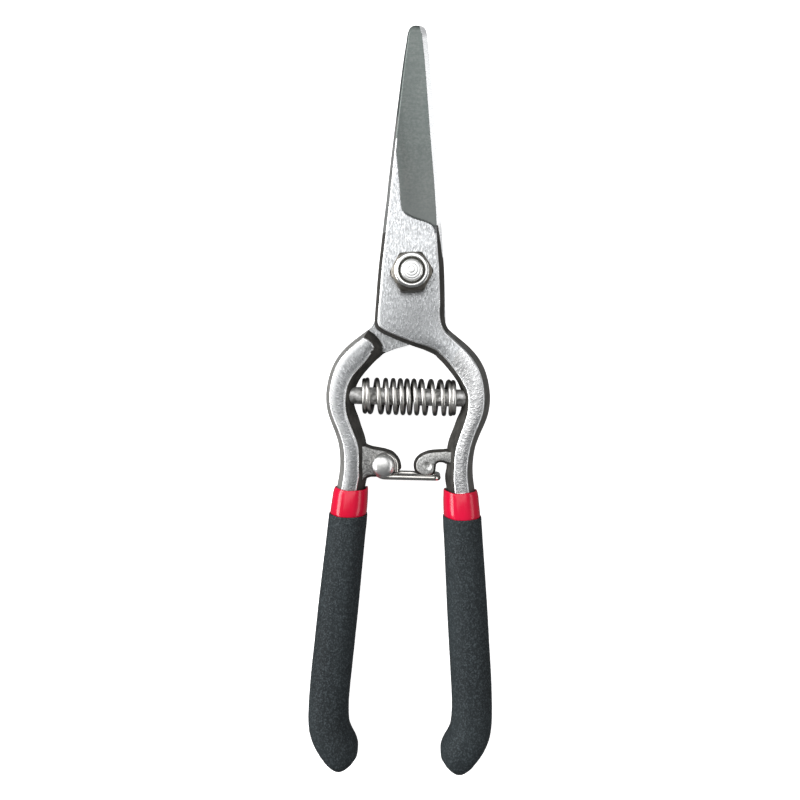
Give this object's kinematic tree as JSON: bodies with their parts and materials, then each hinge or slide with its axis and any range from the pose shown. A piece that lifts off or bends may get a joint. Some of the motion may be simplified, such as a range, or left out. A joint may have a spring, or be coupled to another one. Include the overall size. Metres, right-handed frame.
{
  "type": "floral snips",
  "caption": "Hand snips for cutting flower stems: two crossing forged blades on a bolt, opened by a coil spring, held shut by a wire bail latch, with dipped grips.",
  "frame": {"origin": "centre of the bolt head's flat underside, on the pivot axis", "axes": "+Y to the blade tips, +X to the right-hand handle, +Z from the bolt head to the nut, with the snips lying closed on their back"},
  "size_m": [0.049, 0.1993, 0.0185],
  "materials": {
    "forged_steel": "tumbled and belt-ground bright steel with dark forged flanks",
    "plated_hardware": "bright plated",
    "nylon": "satin",
    "spring_wire": "drawn bright wire",
    "peg_steel": "turned steel",
    "bail_wire": "bright bent wire",
    "red_pvc": "glossy dipped vinyl",
    "black_pvc": "matt textured dipped vinyl"
  },
  "bodies": {
    "rear_body": {"rear_half": "forged_steel", "pivot_bolt": "plated_hardware", "pivot_nut": "plated_hardware", "nut_insert": "nylon", "return_spring": "spring_wire", "spring_peg_left": "peg_steel", "latch_rivet": "plated_hardware", "grip_base_left": "red_pvc", "grip_cover_left": "black_pvc"},
    "front_body": {"front_half": "forged_steel", "spring_peg_right": "peg_steel", "grip_base_right": "red_pvc", "grip_cover_right": "black_pvc"},
    "bail_body": {"latch_bail": "bail_wire"}
  },
  "joints": [
    {"name": "handle_pivot", "type": "hinge", "parent": "rear_body", "child": "front_body", "pos_m": [0, 0, 0.0065], "axis": [0, 0, 1], "range_deg": [0, 24], "deforming": ["return_spring"]},
    {"name": "latch_swing", "type": "hinge", "parent": "rear_body", "child": "bail_body", "pos_m": [-0.00615, -0.05065, 0.0065], "axis": [0, 0, 1], "range_deg": [-84, 0]}
  ],
  "couplings": [
    {"joint": "latch_swing", "follows": "handle_pivot", "ratio": -3.5}
  ]
}
